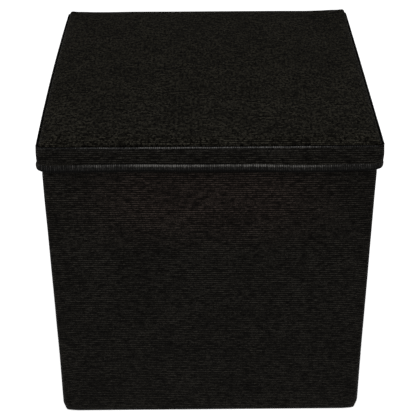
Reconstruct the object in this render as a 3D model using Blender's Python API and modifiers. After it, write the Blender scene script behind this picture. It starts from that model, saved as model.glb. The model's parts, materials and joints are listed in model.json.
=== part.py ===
"""Collapsible storage ottoman: a cloth-covered board cube with a padded lift-off lid and a hinged floor.

Metres, +Z up. The origin is on the floor at the centre of the footprint, and the front faces -Y.
The walls are loose boards between an outer cover and a lining. Each side wall has two half boards with a
crease between them, so that the box can fold flat once its floor panel is turned up.
"""

import math

import bpy
from mathutils import Matrix, Vector

# Overall sizes
LID_WIDTH = 0.380  # along X, over the lid's skirt
LID_DEPTH = 0.380  # along Y, over the lid's skirt
SEAM_HEIGHT = 0.383  # from the floor to the seam round the lid's top
SKIRT_DROP = 0.031  # from that seam to the skirt's lower edge

# Sheet materials
COVER_CLOTH = 0.0012
LINING_CLOTH = 0.0008
BOTTOM_CLOTH = 0.0010
WALL_BOARD = 0.0040
FLOOR_BOARD = 0.0040
LID_BOARD = 0.0040
RIM_STRIP = 0.0020
FOAM = 0.0100
FOAM_CROWN = 0.0040  # how far the padded top rises above its seam

# Clearances
GAP = 0.0003  # between layers that touch
LID_CLEARANCE = 0.0014  # round the walls, inside the skirt
FLOOR_CLEARANCE = 0.0015  # round the floor panel, inside the lining

# Edges and small pieces
CORNER_EASE = 0.0005  # between the boards' ends and the cover's turn at the vertical corners
LID_CORNER = 0.0060  # outside radius of the skirt at the vertical corners
CREASE_GAP = 0.0040  # between the half boards of a side wall
CREASE_GROOVE = 0.0007  # depth of the sewn groove over that gap
CREASE_WIDTH = 0.0030
RIM_FOLD = 0.0200  # how far the cover is turned down inside the walls
SKIRT_HEM = 0.0080  # height of the rolled hem along the skirt's lower edge
HEM_ROUNDING = 0.0016
WELT = 0.0024  # diameter of the welt in the lid's seam
HINGE_TAPE_WIDTH = 0.0200
HINGE_TAPE_INSET = 0.0250  # from the panel's sides to the tape's ends
HINGE_TAPE_STEP = 0.0030  # from the hinge axis to the tapes' nearer edges
PULL_TAB_WIDTH = 0.0250
PULL_TAB_LENGTH = 0.0600
PULL_TAB_THICKNESS = 0.0016  # ribbon folded double
PULL_TAB_INSET = 0.0100  # from the panel's front edge

ARC_STEPS = 6  # segments in a quarter turn
CROWN_CUTS = 11  # grid lines across the crowned top
CROWN_POWER = 4  # how flat the crown stays before it falls to the seam
SIDES = {"front": 0, "right": 90, "back": 180, "left": -90}  # turn about Z from the front, degrees

# Layers counted inward from the outer face of the walls and of the skirt
BOARD_FACE = COVER_CLOTH + GAP
LINING_FACE = BOARD_FACE + WALL_BOARD + GAP
WALL_THICKNESS = LINING_FACE + LINING_CLOTH
WALL_CORNER = BOARD_FACE + WALL_BOARD + CORNER_EASE  # outside radius of the cover at the corners
STRIP_FACE = COVER_CLOTH + GAP
SKIRT_LINING_FACE = STRIP_FACE + RIM_STRIP + GAP
SKIRT_THICKNESS = SKIRT_LINING_FACE + LINING_CLOTH
LID_OVERHANG = SKIRT_THICKNESS + LID_CLEARANCE

BOX_WIDTH = LID_WIDTH - 2 * LID_OVERHANG
BOX_DEPTH = LID_DEPTH - 2 * LID_OVERHANG

# Heights in the lid, from its top layer down
COVER_BOTTOM = SEAM_HEIGHT - COVER_CLOTH
FOAM_BOTTOM = COVER_BOTTOM - GAP - FOAM
LID_BOARD_TOP = FOAM_BOTTOM - GAP
LID_LINING_TOP = LID_BOARD_TOP - LID_BOARD - GAP
LID_LINING_BOTTOM = LID_LINING_TOP - LINING_CLOTH
SKIRT_BOTTOM = SEAM_HEIGHT - SKIRT_DROP

# Heights in the walls
WALL_TOP = LID_LINING_BOTTOM - GAP
BOARD_TOP = WALL_TOP - COVER_CLOTH - GAP
BOARD_BOTTOM = COVER_CLOTH + GAP

# Heights in the floor panel, which lies on the bottom sheet, and its hinge axis along X
FLOOR_BACKING_BOTTOM = BOTTOM_CLOTH + GAP
FLOOR_BOARD_BOTTOM = FLOOR_BACKING_BOTTOM + LINING_CLOTH + GAP
FLOOR_LINING_BOTTOM = FLOOR_BOARD_BOTTOM + FLOOR_BOARD + GAP
FLOOR_TOP = FLOOR_LINING_BOTTOM + LINING_CLOTH
HINGE_Z = FLOOR_TOP + GAP + PULL_TAB_THICKNESS
HINGE_Y = BOX_DEPTH / 2 - WALL_THICKNESS - LINING_CLOTH - 2 * GAP
FLOOR_HALF_WIDTH = BOX_WIDTH / 2 - WALL_THICKNESS - FLOOR_CLEARANCE
FLOOR_FRONT = -(BOX_DEPTH / 2 - WALL_THICKNESS - FLOOR_CLEARANCE)
FLOOR_REAR = HINGE_Y - GAP


def clear_scene():
    for obj in list(bpy.data.objects):
        bpy.data.objects.remove(obj, do_unlink=True)


def make_material(name, colour, roughness):
    material = bpy.data.materials.new(name)
    material.use_nodes = True
    shader = material.node_tree.nodes["Principled BSDF"]
    shader.inputs["Base Color"].default_value = (*colour, 1.0)
    shader.inputs["Roughness"].default_value = roughness
    shader.inputs["Metallic"].default_value = 0.0
    return material


def make_body(name, location):
    """An empty at the point or axis about which its pieces move."""
    body = bpy.data.objects.new(name, None)
    body.location = location
    ottoman.objects.link(body)
    return body


def finish(obj, name, material, body):
    """Names a piece, gives it its material and hangs it on its body, whose only transform is a location."""
    obj.name = name
    obj.data.name = name
    obj.data.materials.append(material)
    for collection in list(obj.users_collection):
        collection.objects.unlink(obj)
    ottoman.objects.link(obj)
    obj.parent = body
    obj.location -= body.location
    return obj


def round_edges(obj, width, segments=2):
    bevel = obj.modifiers.new("Rounded edges", "BEVEL")
    bevel.width = width
    bevel.segments = segments
    bevel.limit_method = "ANGLE"


def block(name, low, high, material, body, turn=Matrix()):
    """A box between two corners, then turned about the origin."""
    low, high = Vector(low), Vector(high)
    bpy.ops.mesh.primitive_cube_add(size=1)
    obj = bpy.context.object
    obj.scale = high - low
    bpy.ops.object.transform_apply(location=False, rotation=False, scale=True)
    obj.location = turn @ ((low + high) / 2)
    obj.rotation_euler = turn.to_euler()
    return finish(obj, name, material, body)


def prism(name, outlines, half_length, placing, material, body):
    """Closed outlines in the local XY plane, extruded both ways along local Z. A second outline is a hole."""
    curve = bpy.data.curves.new(name, "CURVE")
    curve.dimensions = "2D"
    curve.fill_mode = "BOTH"
    curve.extrude = half_length
    for outline in outlines:
        spline = curve.splines.new("POLY")
        spline.points.add(len(outline) - 1)
        for point, (x, y) in zip(spline.points, outline):
            point.co = (x, y, 0, 1)
        spline.use_cyclic_u = True
    obj = bpy.data.objects.new(name, curve)
    ottoman.objects.link(obj)
    obj.location = placing.to_translation()
    obj.rotation_euler = placing.to_euler()
    return finish(obj, name, material, body)


def arc(centre_x, centre_y, radius, start, end):
    """Points on an arc, with its angles in degrees."""
    angles = [math.radians(start + (end - start) * i / ARC_STEPS) for i in range(ARC_STEPS + 1)]
    return [(centre_x + radius * math.cos(a), centre_y + radius * math.sin(a)) for a in angles]


def rounded_rectangle(half_x, half_y, radius):
    corners = ((1, 1, 0), (-1, 1, 90), (-1, -1, 180), (1, -1, 270))
    points = []
    for sign_x, sign_y, start in corners:
        centre = (sign_x * (half_x - radius), sign_y * (half_y - radius))
        points += arc(*centre, radius, start, start + 90)
    return points


def square_fit(half, radius, inset):
    """Half size of the largest sharp-cornered square inside a rounded one, kept inset from its edge."""
    return min(half - inset, half - radius + (radius - inset) / math.sqrt(2))


class Wall:
    """One of the four sides of a rounded box: its turn about Z, half its run and how far out its face is."""

    def __init__(self, side, width, depth, corner):
        self.side = side
        self.turn = Matrix.Rotation(math.radians(SIDES[side]), 4, "Z")
        self.wraps = side in ("front", "back")
        self.half_run, self.outer = (width / 2, depth / 2) if self.wraps else (depth / 2, width / 2)
        self.corner = corner

    def slab(self, name, start, end, face, thickness, heights, material, body):
        """A flat layer, face deep in the wall, from start to end along it."""
        low = (start, -(self.outer - face), heights[0])
        high = (end, -(self.outer - face - thickness), heights[1])
        return block(name, low, high, material, body, self.turn)

    def upright(self, name, outline, heights, material, body):
        """A plan outline, drawn for the front, extruded between two heights."""
        middle = Matrix.Translation((0, 0, sum(heights) / 2))
        half_height = (heights[1] - heights[0]) / 2
        return prism(name, [outline], half_height, self.turn @ middle, material, body)

    def moulding(self, name, profile, run, material, body):
        """A section in the YZ plane, drawn for the front, extruded along the wall."""
        along_x = Matrix(((0, 0, 1, 0), (1, 0, 0, 0), (0, 1, 0, 0), (0, 0, 0, 1)))
        return prism(name, [profile], run, self.turn @ along_x, material, body)

    def wrapped_outline(self, thickness):
        """The front or back sheet with the quarter turns that take it round its two corners."""
        centre_x, centre_y = self.half_run - self.corner, -(self.outer - self.corner)
        inner = self.corner - thickness
        outside = arc(-centre_x, centre_y, self.corner, 180, 270)
        outside += arc(centre_x, centre_y, self.corner, 270, 360)
        inside = arc(centre_x, centre_y, inner, 360, 270)
        inside += arc(-centre_x, centre_y, inner, 270, 180)
        return outside + inside

    def plain_outline(self, thickness, groove=0.0):
        """A side sheet between the wrapped ones, with an optional groove down its middle."""
        run = self.half_run - self.corner - GAP
        face, back = -self.outer, -(self.outer - thickness)
        notch = [(-CREASE_WIDTH / 2, face), (0, face + groove), (CREASE_WIDTH / 2, face)] if groove else []
        return [(-run, face), *notch, (run, face), (run, back), (-run, back)]


def build_wall(wall):
    """The cover, board or half boards, lining, turned-down rim and bottom hem of one side of the box."""
    side = wall.side
    if wall.wraps:
        cover = wall.wrapped_outline(COVER_CLOTH)
    else:
        cover = wall.plain_outline(COVER_CLOTH, CREASE_GROOVE)
    wall.upright(f"{side}_cover", cover, (0, WALL_TOP), cover_cloth, box)

    board_run = wall.half_run - WALL_CORNER
    heights = (BOARD_BOTTOM, BOARD_TOP)
    if wall.wraps:
        boards = {f"{side}_board": (-board_run, board_run)}
    else:
        first, second = ("rear", "front") if side == "left" else ("front", "rear")
        boards = {
            f"{side}_{first}_board": (-board_run, -CREASE_GAP / 2),
            f"{side}_{second}_board": (CREASE_GAP / 2, board_run),
        }
    for name, (start, end) in boards.items():
        wall.slab(name, start, end, BOARD_FACE, WALL_BOARD, heights, fibreboard, box)

    inner_run = wall.half_run - WALL_THICKNESS
    lining_run = inner_run - GAP if wall.wraps else inner_run + LINING_CLOTH
    lining_top = WALL_TOP - RIM_FOLD - GAP
    heights = (0, lining_top)
    name = f"{side}_lining"
    wall.slab(name, -lining_run, lining_run, LINING_FACE, LINING_CLOTH, heights, lining_cloth, box)

    rim_outer, leg_outer = -(wall.outer - BOARD_FACE), -(wall.outer - LINING_FACE)
    leg_inner = leg_outer + COVER_CLOTH
    rim = [
        (rim_outer, WALL_TOP),
        (rim_outer, WALL_TOP - COVER_CLOTH),
        (leg_outer, WALL_TOP - COVER_CLOTH),
        (leg_outer, WALL_TOP - RIM_FOLD),
        (leg_inner, WALL_TOP - RIM_FOLD),
        (leg_inner, WALL_TOP),
    ]
    fold_run = board_run if wall.wraps else wall.half_run - LINING_FACE - COVER_CLOTH - GAP
    wall.moulding(f"{side}_rim_fold", rim, fold_run, cover_cloth, box)

    heights = (0, COVER_CLOTH)
    name = f"{side}_bottom_hem"
    wall.slab(name, -board_run, board_run, BOARD_FACE, WALL_BOARD, heights, cover_cloth, box)


def build_bottom_sheet():
    """The sheet under the box, sewn to the lower edges of its four linings."""
    half_x, half_y = [half - WALL_THICKNESS - GAP for half in (BOX_WIDTH / 2, BOX_DEPTH / 2)]
    block("bottom_sheet", (-half_x, -half_y, 0), (half_x, half_y, BOTTOM_CLOTH), lining_cloth, box)


def build_hinge_tapes():
    """The tape that hinges the floor panel: one half is sewn to the back wall, the other to the panel."""
    half_width = FLOOR_HALF_WIDTH - HINGE_TAPE_INSET
    wall_face = BOX_DEPTH / 2 - WALL_THICKNESS - GAP
    foot = HINGE_Z + HINGE_TAPE_STEP
    low = (-half_width, wall_face - LINING_CLOTH, foot)
    high = (half_width, wall_face, foot + HINGE_TAPE_WIDTH)
    block("wall_hinge_tape", low, high, tape_cloth, box)

    rear = HINGE_Y - HINGE_TAPE_STEP
    bottom = FLOOR_TOP + GAP
    low = (-half_width, rear - HINGE_TAPE_WIDTH, bottom)
    high = (half_width, rear, bottom + LINING_CLOTH)
    block("floor_hinge_tape", low, high, tape_cloth, floor_panel)


def build_floor_panel():
    """The board between two sheets, its edge binding and the ribbon tab that pulls it up."""
    low, high = (-FLOOR_HALF_WIDTH, FLOOR_FRONT), (FLOOR_HALF_WIDTH, FLOOR_REAR)
    backing_low, backing_high = (*low, FLOOR_BACKING_BOTTOM), (*high, FLOOR_BACKING_BOTTOM + LINING_CLOTH)
    block("floor_backing", backing_low, backing_high, lining_cloth, floor_panel)
    block("floor_lining", (*low, FLOOR_LINING_BOTTOM), (*high, FLOOR_TOP), lining_cloth, floor_panel)

    half_x, half_y = FLOOR_HALF_WIDTH, (FLOOR_REAR - FLOOR_FRONT) / 2
    middle_y = (FLOOR_REAR + FLOOR_FRONT) / 2
    board_top = FLOOR_BOARD_BOTTOM + FLOOR_BOARD
    outside, inside = [
        [(x * (half_x - inset), y * (half_y - inset)) for x, y in ((-1, -1), (1, -1), (1, 1), (-1, 1))]
        for inset in (0, LINING_CLOTH)
    ]
    placing = Matrix.Translation((0, middle_y, (FLOOR_BOARD_BOTTOM + board_top) / 2))
    prism("floor_edge_binding", [outside, inside], FLOOR_BOARD / 2, placing, tape_cloth, floor_panel)

    inset = LINING_CLOTH + GAP
    board_low = (-half_x + inset, FLOOR_FRONT + inset, FLOOR_BOARD_BOTTOM)
    board_high = (half_x - inset, FLOOR_REAR - inset, board_top)
    block("floor_board", board_low, board_high, fibreboard, floor_panel)

    tab_front = FLOOR_FRONT + PULL_TAB_INSET
    tab_low = (-PULL_TAB_WIDTH / 2, tab_front, FLOOR_TOP + GAP)
    tab_high = (PULL_TAB_WIDTH / 2, tab_front + PULL_TAB_LENGTH, FLOOR_TOP + GAP + PULL_TAB_THICKNESS)
    block("pull_tab", tab_low, tab_high, tape_cloth, floor_panel)


def build_skirt(wall):
    """The skirt, its stiffening strip, its lining and the rolled hem on one side of the lid."""
    side = wall.side
    hem_top = SKIRT_BOTTOM + SKIRT_HEM
    skirt = wall.wrapped_outline(COVER_CLOTH) if wall.wraps else wall.plain_outline(COVER_CLOTH)
    skirt_heights = (hem_top + GAP, SEAM_HEIGHT - WELT - GAP)
    wall.upright(f"lid_{side}_skirt", skirt, skirt_heights, cover_cloth, lid)

    strip_run = wall.half_run - max(LID_CORNER, STRIP_FACE + RIM_STRIP + GAP)
    heights = (hem_top + GAP, LID_BOARD_TOP)
    name = f"lid_{side}_rim_strip"
    wall.slab(name, -strip_run, strip_run, STRIP_FACE, RIM_STRIP, heights, fibreboard, lid)

    inner_run = wall.half_run - SKIRT_THICKNESS
    lining_run = inner_run - GAP if wall.wraps else inner_run + LINING_CLOTH
    heights = (hem_top + GAP, LID_LINING_BOTTOM - GAP)
    name = f"lid_{side}_skirt_lining"
    wall.slab(name, -lining_run, lining_run, SKIRT_LINING_FACE, LINING_CLOTH, heights, lining_cloth, lid)

    hem_run = square_fit(wall.half_run, LID_CORNER, 0) if wall.wraps else inner_run - GAP
    heights = (SKIRT_BOTTOM, hem_top)
    hem = wall.slab(f"lid_{side}_hem", -hem_run, hem_run, 0, SKIRT_THICKNESS, heights, cover_cloth, lid)
    round_edges(hem, HEM_ROUNDING)


def crown_height(x, y, half_x, half_y):
    """Height of the padded top above its edge."""
    return FOAM_CROWN * (1 - abs(x / half_x) ** CROWN_POWER) * (1 - abs(y / half_y) ** CROWN_POWER)


def build_foam(half_x, half_y):
    """A flat-bottomed pad with a crowned top, from a cube cut into a grid."""
    top = COVER_BOTTOM - GAP
    foam = block("lid_foam", (-half_x, -half_y, FOAM_BOTTOM), (half_x, half_y, top), foam_pad, lid)
    bpy.context.view_layer.objects.active = foam
    bpy.ops.object.mode_set(mode="EDIT")
    bpy.ops.mesh.select_all(action="SELECT")
    bpy.ops.mesh.subdivide(number_cuts=CROWN_CUTS)
    bpy.ops.object.mode_set(mode="OBJECT")
    for vertex in foam.data.vertices:
        if vertex.co.z > FOAM / 2 - GAP:
            vertex.co.z += crown_height(vertex.co.x, vertex.co.y, half_x, half_y)


def build_top_cover(half_x, half_y):
    """The sheet over the foam, thickened downward."""
    faces = CROWN_CUTS + 1
    centre = (0, 0, SEAM_HEIGHT)
    bpy.ops.mesh.primitive_grid_add(x_subdivisions=faces, y_subdivisions=faces, size=1, location=centre)
    cover = bpy.context.object
    cover.scale = (2 * half_x, 2 * half_y, 1)
    bpy.ops.object.transform_apply(location=False, rotation=False, scale=True)
    for vertex in cover.data.vertices:
        vertex.co.z += crown_height(vertex.co.x, vertex.co.y, half_x, half_y)
    finish(cover, "lid_top_cover", cover_cloth, lid)
    thickness = cover.modifiers.new("Cloth thickness", "SOLIDIFY")
    thickness.thickness = COVER_CLOTH
    thickness.offset = -1


def build_welt():
    """The round welt sewn into the seam between the top and the skirt."""
    half_x, half_y = LID_WIDTH / 2 - WELT / 2, LID_DEPTH / 2 - WELT / 2
    curve = bpy.data.curves.new("lid_seam_welt", "CURVE")
    curve.dimensions = "3D"
    curve.bevel_depth = WELT / 2
    curve.bevel_resolution = 2
    path = rounded_rectangle(half_x, half_y, LID_CORNER - WELT / 2)
    spline = curve.splines.new("POLY")
    spline.points.add(len(path) - 1)
    for point, (x, y) in zip(spline.points, path):
        point.co = (x, y, 0, 1)
    spline.use_cyclic_u = True
    welt = bpy.data.objects.new("lid_seam_welt", curve)
    ottoman.objects.link(welt)
    welt.location = (0, 0, SEAM_HEIGHT - WELT / 2)
    finish(welt, "lid_seam_welt", cover_cloth, lid)


def build_lid_layers():
    """The lining, board, foam and top cover, one on the other."""
    half_width, half_depth = LID_WIDTH / 2, LID_DEPTH / 2
    inside_strips = STRIP_FACE + RIM_STRIP + GAP
    board_x, board_y = [
        min(half - inside_strips, square_fit(half, LID_CORNER, COVER_CLOTH + GAP))
        for half in (half_width, half_depth)
    ]
    lining_low, lining_high = (-board_x, -board_y, LID_LINING_BOTTOM), (board_x, board_y, LID_LINING_TOP)
    block("lid_lining", lining_low, lining_high, lining_cloth, lid)
    board_low, board_high = (-board_x, -board_y, LID_LINING_TOP + GAP), (board_x, board_y, LID_BOARD_TOP)
    block("lid_board", board_low, board_high, fibreboard, lid)

    pad_x, pad_y = [square_fit(half, LID_CORNER, WELT + GAP) for half in (half_width, half_depth)]
    build_foam(pad_x, pad_y)
    build_top_cover(pad_x, pad_y)


clear_scene()
ottoman = bpy.data.collections.new("storage_ottoman")
bpy.context.scene.collection.children.link(ottoman)

cover_cloth = make_material("cover_cloth", (0.011, 0.010, 0.009), 0.92)
lining_cloth = make_material("lining_cloth", (0.014, 0.014, 0.015), 0.95)
tape_cloth = make_material("tape_cloth", (0.010, 0.010, 0.011), 0.85)
fibreboard = make_material("fibreboard", (0.36, 0.25, 0.15), 0.80)
foam_pad = make_material("foam_pad", (0.72, 0.70, 0.62), 0.95)

box = make_body("box_body", (0, 0, 0))
floor_panel = make_body("floor_panel_body", (0, HINGE_Y, HINGE_Z))
lid = make_body("lid_body", (0, 0, WALL_TOP))

for side_name in SIDES:
    build_wall(Wall(side_name, BOX_WIDTH, BOX_DEPTH, WALL_CORNER))
    build_skirt(Wall(side_name, LID_WIDTH, LID_DEPTH, LID_CORNER))
build_bottom_sheet()
build_hinge_tapes()
build_floor_panel()
build_lid_layers()
build_welt()
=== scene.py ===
"""Looks of the folding storage ottoman: cloth, padding, seams and linings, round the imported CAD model."""

import json
import math

import bmesh
import bpy
import numpy as np
from mathutils import Matrix, Vector, noise


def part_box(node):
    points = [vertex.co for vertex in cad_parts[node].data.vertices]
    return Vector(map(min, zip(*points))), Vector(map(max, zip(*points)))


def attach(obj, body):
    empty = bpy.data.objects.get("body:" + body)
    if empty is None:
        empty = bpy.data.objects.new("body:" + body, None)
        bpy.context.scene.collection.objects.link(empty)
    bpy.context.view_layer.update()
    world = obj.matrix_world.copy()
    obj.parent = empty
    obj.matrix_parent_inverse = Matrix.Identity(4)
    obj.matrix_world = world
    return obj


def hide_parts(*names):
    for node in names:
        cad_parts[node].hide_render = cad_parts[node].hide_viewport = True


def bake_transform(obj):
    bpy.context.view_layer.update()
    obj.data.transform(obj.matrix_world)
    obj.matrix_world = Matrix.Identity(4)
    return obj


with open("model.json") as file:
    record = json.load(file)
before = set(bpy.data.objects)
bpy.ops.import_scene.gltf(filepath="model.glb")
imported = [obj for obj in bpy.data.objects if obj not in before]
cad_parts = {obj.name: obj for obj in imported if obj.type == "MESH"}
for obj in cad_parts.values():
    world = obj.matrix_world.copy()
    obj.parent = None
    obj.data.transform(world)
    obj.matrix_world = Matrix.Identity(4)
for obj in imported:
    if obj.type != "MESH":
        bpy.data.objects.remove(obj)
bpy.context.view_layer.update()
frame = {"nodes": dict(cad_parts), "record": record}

MM = 0.001
SIDES = ("front", "back", "left", "right")
STITCH_PITCH = 4.2 * MM
STITCH_LENGTH = 3.3 * MM
THREAD_RADIUS = 0.24 * MM

# The CAD model's sizes
FRONT_COVER_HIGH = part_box("front_cover")[1]
FOLD_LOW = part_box("right_rim_fold")[0]
LINING_LOW, LINING_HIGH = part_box("right_lining")
WELT_LOW, WELT_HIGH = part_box("lid_seam_welt")
HEM_LOW, HEM_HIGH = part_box("lid_front_hem")
SKIRT_LINING_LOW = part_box("lid_right_skirt_lining")[0]
STRIP_LOW, STRIP_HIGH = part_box("lid_right_rim_strip")
PANEL_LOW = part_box("floor_backing")[0]
PANEL_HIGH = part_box("floor_lining")[1]
SHEET_LOW, SHEET_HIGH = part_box("bottom_sheet")
TAB_LOW, TAB_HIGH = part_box("pull_tab")
WALL_TAPE_LOW, WALL_TAPE_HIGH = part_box("wall_hinge_tape")
FLOOR_TAPE_LOW, FLOOR_TAPE_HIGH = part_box("floor_hinge_tape")
BOX_HALF = FRONT_COVER_HIGH.x
BOX_CORNER = BOX_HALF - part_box("front_board")[1].x
WALL_TOP = FRONT_COVER_HIGH.z
COVER_CLOTH = BOX_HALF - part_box("right_cover")[0].x
FOLD_INSIDE, FOLD_BOTTOM = FOLD_LOW.x, FOLD_LOW.z
LINING_INSIDE, LINING_TOP = LINING_LOW.x, LINING_HIGH.z
HEM_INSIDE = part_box("right_bottom_hem")[0].x
LID_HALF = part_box("lid_front_skirt")[1].x
LID_SEAM = WELT_HIGH.z
WELT = LID_SEAM - WELT_LOW.z
HEM_TOP, HEM_BOTTOM = HEM_HIGH.z, HEM_LOW.z
SKIRT_INSIDE, SKIRT_LINING_BOTTOM = SKIRT_LINING_LOW.x, SKIRT_LINING_LOW.z
HEM_THICKNESS = LID_HALF - SKIRT_INSIDE
FOAM_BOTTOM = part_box("lid_foam")[0].z
LID_LINING_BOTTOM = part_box("lid_lining")[0].z


# ---------------------------------------------------------------- materials


class Material:
    """A Principled material whose nodes are added one call at a time."""

    def __init__(self, name, roughness, specular):
        self.material = bpy.data.materials.new(name)
        self.material.use_nodes = True
        self.tree = self.material.node_tree
        self.shader = self.tree.nodes["Principled BSDF"]
        self.shader.inputs["Roughness"].default_value = roughness
        self.shader.inputs["Specular IOR Level"].default_value = specular

    def set(self, socket, value):
        if isinstance(value, bpy.types.NodeSocket):
            self.tree.links.new(value, socket)
        else:
            socket.default_value = value

    def node(self, kind, output=0, settings=None, **inputs):
        """Adds a node; inputs are named with _ for a space, or with i0, i1 by number."""
        node = self.tree.nodes.new("ShaderNode" + kind)
        for key, value in (settings or {}).items():
            setattr(node, key, value)
        for key, value in inputs.items():
            numbered = key[0] == "i" and key[1:].isdigit()
            socket = node.inputs[int(key[1:])] if numbered else node.inputs[key.replace("_", " ")]
            self.set(socket, value)
        return node.outputs[output]

    def split(self, vector):
        """The X, Y and Z of a vector."""
        return self.node("SeparateXYZ", Vector=vector).node.outputs

    def math(self, operation, a, b=0.0):
        return self.node("Math", settings={"operation": operation}, i0=a, i1=b)

    def times(self, a, b):
        return self.math("MULTIPLY", a, b)

    def plus(self, a, b):
        return self.math("ADD", a, b)

    def remap(self, value, low, high, to_low=0.0, to_high=1.0):
        return self.node("MapRange", Value=value, From_Min=low, From_Max=high, To_Min=to_low, To_Max=to_high)

    def scaled(self, vector, scale):
        return self.node("VectorMath", settings={"operation": "MULTIPLY"}, i0=vector, i1=scale)

    def noise(self, vector, scale, detail=2.0):
        """Noise whose grain is 1 / scale metres along each axis."""
        return self.node("TexNoise", Vector=self.scaled(vector, scale), Scale=1.0, Detail=detail)

    def ribs(self, vector, axis, period):
        """A sine from 0 to 1 along one axis, with its period in metres."""
        settings = {"wave_type": "BANDS", "bands_direction": axis, "wave_profile": "SIN"}
        return self.node("TexWave", 1, settings, Vector=vector, Scale=math.pi / 10 / period, Distortion=0.0)

    def mix(self, factor, a, b, blend="MIX"):
        """Blends from a colour or a socket to a colour."""
        settings = {"data_type": "RGBA", "blend_type": blend}
        return self.node("Mix", 2, settings, i0=factor, i6=(*a, 1) if isinstance(a, tuple) else a, i7=(*b, 1))

    def finish(self, colour, height, depth, strength):
        """Joins up the colour and a bump of that depth in metres."""
        self.set(self.shader.inputs["Base Color"], colour)
        bump = self.node("Bump", Strength=strength, Distance=depth, Height=height)
        self.set(self.shader.inputs["Normal"], bump)
        return self.material


def coordinates(material, source):
    """Metres along the cloth from the UV map, or in the model's own frame."""
    return material.node("TexCoord", {"UV": 2, "Object": 3}[source])


# Painted light: the walls lighter and warmer towards their tops, the lid's top lighter towards its front, and
# the heights where each comes in
PAINTED_LIGHT_WALL = (1.52, 1.25, 1.28)
PAINTED_LIGHT_TOP = (1.17, 1.19, 1.25)
WALL_PAINTED_LIGHT_START = (0.24, 0.30)
WALL_PAINTED_LIGHT_END = (0.345, 0.353)
TOP_PAINTED_LIGHT_START = (0.375, 0.380)


def woven_cloth(name, dark, light, rib=2.72 * MM, nubs=(0.5, 330, 300), roll=None):
    """A linen-like weave, ribbed along its X: each thread has its own shade, and slubs where it swells.

    The nubs are a strength and two grains. A roll gives the X in metres of a rolled edge's underside, of its
    outer line, of the crest of its painted highlight and of its back, and paints shade below and behind that
    crest.
    """
    m = Material(name, roughness=0.6, specular=0.02)
    flat, place = coordinates(m, "UV"), coordinates(m, "Object")
    drift = m.remap(m.noise(flat, (9, 30, 1), 2), 0.3, 0.7, -0.35 * rib, 0.35 * rib)
    moved = m.node("CombineXYZ", X=0.0, Y=drift, Z=0.0)
    vector = m.node("VectorMath", settings={"operation": "ADD"}, i0=flat, i1=moved)
    ribs = m.remap(m.ribs(vector, "Y", rib), 0.2, 0.85, 0.0, 1.0)
    ends = m.ribs(flat, "X", 1.4 * MM)
    along, across, _ = m.split(vector)
    thread_number = m.math("FLOOR", m.math("DIVIDE", across, rib))
    thread_place = m.node("CombineXYZ", X=along, Y=m.times(thread_number, 0.1), Z=0.0)
    thread = m.remap(m.noise(thread_place, (110, 37, 1), 2), 0.34, 0.66, 0.2, 1.8)
    broken = m.remap(m.noise(flat, (600, 1100, 1), 2), 0.34, 0.66, 0.1, 1.9)
    clump = m.remap(m.noise(flat, (*nubs[1:], 1), 2), 0.32, 0.68, 1 - nubs[0], 1 + nubs[0])
    slub = m.remap(m.noise(flat, (150, 800, 1), 1), 0.62, 0.76)
    tone = m.remap(m.noise(flat, (16, 22, 1), 4), 0.3, 0.7, 0.72, 1.28)
    weave = m.times(m.times(ribs, thread), m.times(broken, clump))
    # The weave's own colour pattern; on a rolled edge, painted light is multiplied in below
    weave_and_painted_light = m.times(m.plus(m.times(weave, 0.42), m.times(slub, 0.6)), tone)
    sides = m.split(m.node("VectorMath", settings={"operation": "ABSOLUTE"}, i0=place))
    from_middle = m.math("MINIMUM", sides[0], sides[1])
    # A rolled edge gets painted shade under and behind it, and a painted highlight on its crest
    if roll:
        weave_and_painted_light = m.times(m.plus(weave_and_painted_light, 0.1), roll_painted_light(m, flat, from_middle, roll))
    height = m.plus(m.times(ribs, 0.6), m.times(ends, 0.15))
    height = m.plus(height, m.times(slub, 0.5))
    height = m.plus(height, m.times(broken, 0.2))
    # The painted light of the walls and the lid's top is multiplied into the colour here
    return m.finish(with_painted_light(m, m.mix(weave_and_painted_light, dark, light), place, from_middle), height, 0.35 * MM, 0.8)


def roll_painted_light(m, flat, from_middle, roll):
    """Painted light round a rolled edge: painted shade below and behind, and a painted highlight on its crest
    by the middles.
    """
    under, line, crest, back = roll
    around = m.split(flat)[0]
    # Painted highlight: it rises to the crest, falls off behind it, fades towards the corners and is patchy
    rise = m.times(m.remap(around, line, crest), m.remap(around, crest, back, 1.0, 0.0))
    middle = m.remap(from_middle, 0.065, 0.15, 1.0, 0.08)
    patchy = m.remap(m.noise(flat, (60, 25, 1), 2), 0.35, 0.65, 0.4, 1.3)
    painted_highlight = m.times(m.times(rise, middle), patchy)
    # Painted shade: dark under the roll and behind its crest
    below = m.remap(around, under, (under + line) / 2, 0.0, 0.2)
    behind = m.remap(around, crest, back, 1.0, 0.1)
    return m.plus(m.times(painted_highlight, 2.2), m.times(below, behind))


def with_painted_light(m, colour, place, from_middle):
    """The colour with painted light: lighter and warmer in the upper middle of the walls, gone just under the
    hem, and lighter towards the front of the lid's top.
    """
    _, y, z = m.split(place)
    # Painted light on the upper walls, less towards the corners and gone just under the hem
    upper = m.times(m.remap(z, *WALL_PAINTED_LIGHT_START), m.remap(z, *WALL_PAINTED_LIGHT_END, 1.0, 0.0))
    upper = m.times(upper, m.remap(from_middle, 0.07, 0.16, 1.0, 0.1))
    # Painted light towards the front of the lid's top
    front = m.times(m.remap(z, *TOP_PAINTED_LIGHT_START), m.remap(y, 0.02, -0.19))
    colour = m.mix(upper, colour, PAINTED_LIGHT_WALL, "MULTIPLY")
    return m.mix(front, colour, PAINTED_LIGHT_TOP, "MULTIPLY")


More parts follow.
